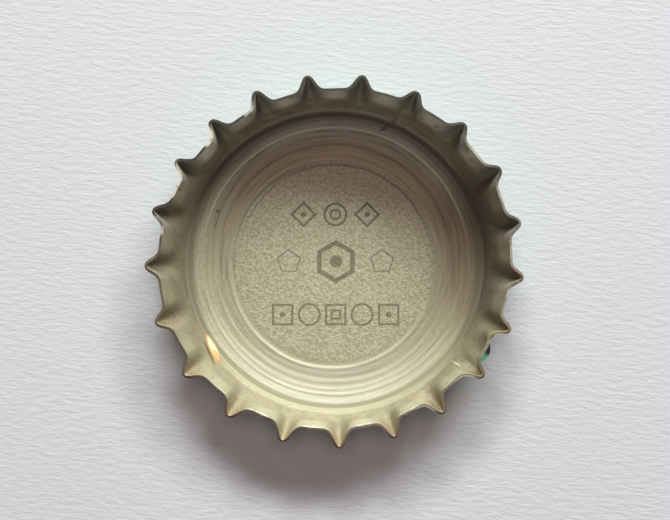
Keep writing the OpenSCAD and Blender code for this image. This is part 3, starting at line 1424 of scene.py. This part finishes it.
@dataclass
class Liner:
    """Moulded liner: membrane over the panel, two low beads, and a seal that rises in steps to the corner.

    Its section is given as rings from under its edge, over the top, to the middle, in millimetres.
    """

    seat_z: float = 0.245
    start_r: float = 11.85
    shift_dir: float = 244.0
    steps: int = 160
    smooth_angle: float = 60.0
    seat_shrinks: Tuple[float, ...] = (0.9, 0.5)
    under: Tuple[LinerRing, ...] = liner_rings((12.25, 0.315), (12.59, 0.47), (12.85, 0.68))
    edge: Tuple[LinerRing, ...] = liner_rings(
        (13.03, 0.87), (13.12, 1.0), (13.14, 1.06), (13.08, 1.02), (12.98, 0.955), (12.88, 0.925),
        (12.79, 0.91), (12.71, 0.901), (12.63, 0.9), (12.54, 0.903),
    )
    seal: Tuple[LinerRing, ...] = liner_rings(
        (12.4, 0.87), (12.2, 0.81), (12.0, 0.757), (11.9, 0.74), (11.84, 0.734), (11.79, 0.732),
        (11.74, 0.722), (11.66, 0.70, 0.02), (11.5, 0.655, 0.03), (11.38, 0.636, 0.04),
        (11.28, 0.624, 0.05), (11.16, 0.60, 0.06), (11.02, 0.562, 0.07), (10.92, 0.543, 0.08),
        (10.78, 0.53, 0.09), (10.66, 0.525, 0.1), (10.54, 0.513, 0.11), (10.4, 0.485, 0.13),
        (10.24, 0.462, 0.16),
    )
    beads: Tuple[LinerRing, ...] = liner_rings(
        (10.05, 0.455, 0.24), (9.85, 0.46, 0.28), (9.66, 0.46, 0.32), (9.5, 0.449, 0.36),
        (9.36, 0.448, 0.38), (9.24, 0.46, 0.4), (9.12, 0.463, 0.42), (9.0, 0.437, 0.44),
        (8.9, 0.405, 0.44), (8.8, 0.388, 0.44), (8.68, 0.386, 0.44),
    )
    membrane: Tuple[LinerRing, ...] = liner_rings(
        (8.3, 0.39, 0.35), (7.2, 0.39, 0.25), (5.2, 0.39, 0.15), (3.2, 0.39, 0.08), (1.4, 0.39),
    )
    name: str = "liner_disc"

    def rings(self) -> Sequence[LinerRing]:
        """The rings from the underside of the edge, over the top, to the middle."""
        return (*self.under, *self.edge, *self.seal, *self.beads, *self.membrane)

    def model(self) -> bpy.types.Object:
        """Models the liner from the ring where its underside leaves the panel.

        Returns:
            The finished piece.
        """
        bench = Bench.ring(self.name, self.start_r, self.seat_z, self.steps)
        under = bench.selected()
        here = LinerRing(self.start_r, self.seat_z)
        for ring in self.rings():
            bench.extrude()
            bench.spread(ring.radius / here.radius, polar(here.shift, self.shift_dir))
            bench.move(polar(ring.shift - here.shift, self.shift_dir, ring.height - here.height))
            here = ring
        bench.close_ring()
        bench.pick(under)
        for factor in self.seat_shrinks:
            bench.extrude()
            bench.spread(factor)
        bench.close_ring()
        piece = bench.done()
        work = Modifiers(piece)
        work.subdivide(1)
        work.smooth(self.smooth_angle)
        return piece

    def make(self) -> bpy.types.Object:
        """Returns:
            The piece.
        """
        piece = self.model()
        piece.data.materials.clear()
        piece.data.materials.append(LinerCompound().material())
        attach(piece, "root")
        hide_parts("liner")
        return piece


# --------------------------------------------------------------------------------------------------
# Stage, light and camera
# --------------------------------------------------------------------------------------------------


@dataclass
class PaperSheet:
    """The paper that the cap lies on."""

    radius: float = 1600.0
    drop: float = 0.01
    steps: int = 96

    def make(self) -> bpy.types.Object:
        """Lays the paper.

        Returns:
            The sheet.
        """
        Bench.clear()
        bpy.ops.mesh.primitive_circle_add(
            vertices=self.steps, radius=self.radius * MM, fill_type="NGON", location=(0, 0, -self.drop * MM)
        )
        sheet = bpy.context.object
        sheet.name = sheet.data.name = "paper_sheet"
        bpy.ops.object.transform_apply(location=True, rotation=True, scale=True)
        sheet.data.materials.append(PaperSurface().material())
        return sheet


@dataclass
class Softbox:
    """A wide softbox for some pieces only: angles in degrees, sizes in millimetres and power in watts."""

    name: str
    azimuth: float
    elevation: float
    width: float
    height: float
    power: float
    colour: Colour
    distance: float = 600.0

    def make(self, lit: Sequence[bpy.types.Object]) -> bpy.types.Object:
        """Hangs the softbox, turned to the cap.

        Args:
            lit: the pieces that it lights.

        Returns:
            The lamp.
        """
        lamp = bpy.data.lights.new(self.name, "AREA")
        lamp.shape, lamp.size, lamp.size_y = "RECTANGLE", self.width * MM, self.height * MM
        lamp.energy, lamp.color = self.power, self.colour
        box = bpy.data.objects.new(self.name, lamp)
        bpy.context.scene.collection.objects.link(box)
        plan = self.distance * cosd(self.elevation)
        box.location = polar(plan, self.azimuth, self.distance * sind(self.elevation)) * MM
        box.rotation_mode = "QUATERNION"
        box.rotation_quaternion = (-box.location).to_track_quat("-Z", "Y")
        receivers = bpy.data.collections.new(self.name + "_lights")
        for thing in lit:
            receivers.objects.link(thing)
        box.light_linking.receiver_collection = receivers
        return box


CAP_LIGHTS = (
    Softbox("cap_softbox", 78.0, 26.7, 900.0, 140.0, 10.8, (0.91, 1.0, 0.99)),
    Softbox("low_softbox", 262.0, 20.0, 500.0, 200.0, 0.42, (0.95, 0.95, 1.1)),
    Softbox("top_softbox", 80.0, 68.0, 400.0, 400.0, 0.5, (1.0, 0.72, 0.68)),
)
PAPER_LIGHTS = (
    Softbox("paper_left", 97.0, 38.0, 190.0, 110.0, 2.15, (0.92, 0.985, 0.985)),
    Softbox("paper_right", 60.0, 37.0, 190.0, 110.0, 1.5, (0.88, 0.97, 0.96)),
    Softbox("paper_middle", 78.0, 44.0, 190.0, 110.0, 0.95, (0.97, 0.96, 1.02)),
    Softbox("paper_fill", 90.0, 85.0, 300.0, 300.0, 0.8, (1.0, 0.76, 0.69)),
)


@dataclass
class Room:
    """Low, slightly cool light from all round, and the pale backdrop beyond the paper."""

    fill: Colour = (0.035, 0.038, 0.052)
    backdrop: Colour = (0.74, 0.74, 0.745)

    def make(self) -> bpy.types.World:
        """Lights the room.

        Returns:
            The world.
        """
        world = bpy.data.worlds.new("room")
        world.use_nodes = True
        nodes = Nodes(world.node_tree)
        seen = nodes.add("LightPath", output="Is Camera Ray")
        colour = nodes.blend(seen, self.fill, self.backdrop)
        light = nodes.add("Background", inputs={"Color": colour, "Strength": 1.0})
        nodes.add("OutputWorld", inputs={"Surface": light})
        bpy.context.scene.world = world
        return world


@dataclass
class OverheadCamera:
    """Camera straight above the cap."""

    x: float = 0.02
    y: float = 0.09
    height: float = 140.0
    lens: float = 85.1
    sensor: float = 36.0
    near: float = 1.0
    far: float = 4000.0

    def make(self) -> bpy.types.Object:
        """Sets the camera up.

        Returns:
            The camera.
        """
        data = bpy.data.cameras.new("overhead")
        data.lens, data.sensor_width = self.lens, self.sensor
        data.clip_start, data.clip_end = self.near * MM, self.far * MM
        camera = bpy.data.objects.new("overhead", data)
        camera.location = Vector((self.x, self.y, self.height)) * MM
        bpy.context.scene.collection.objects.link(camera)
        bpy.context.scene.camera = camera
        return camera


def main() -> None:
    """Builds the cap on its paper, with its light and camera."""
    logging.basicConfig(level=logging.INFO, format="%(name)s: %(message)s")
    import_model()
    scene = bpy.context.scene
    scene.view_settings.view_transform = "Standard"
    cap = [part.make() for part in (CrownShell(), Liner())]
    for piece in cap:
        piece.data.calc_loop_triangles()
        LOG.info("%s: %d triangles", piece.name, len(piece.data.loop_triangles))
    paper = PaperSheet().make()
    for lights, lit in ((CAP_LIGHTS, cap), (PAPER_LIGHTS, [paper])):
        for light in lights:
            light.make(lit)
    for prop in (Room(), OverheadCamera()):
        LOG.info("%s is set up", prop.make().name)


if __name__ == "__main__":
    main()
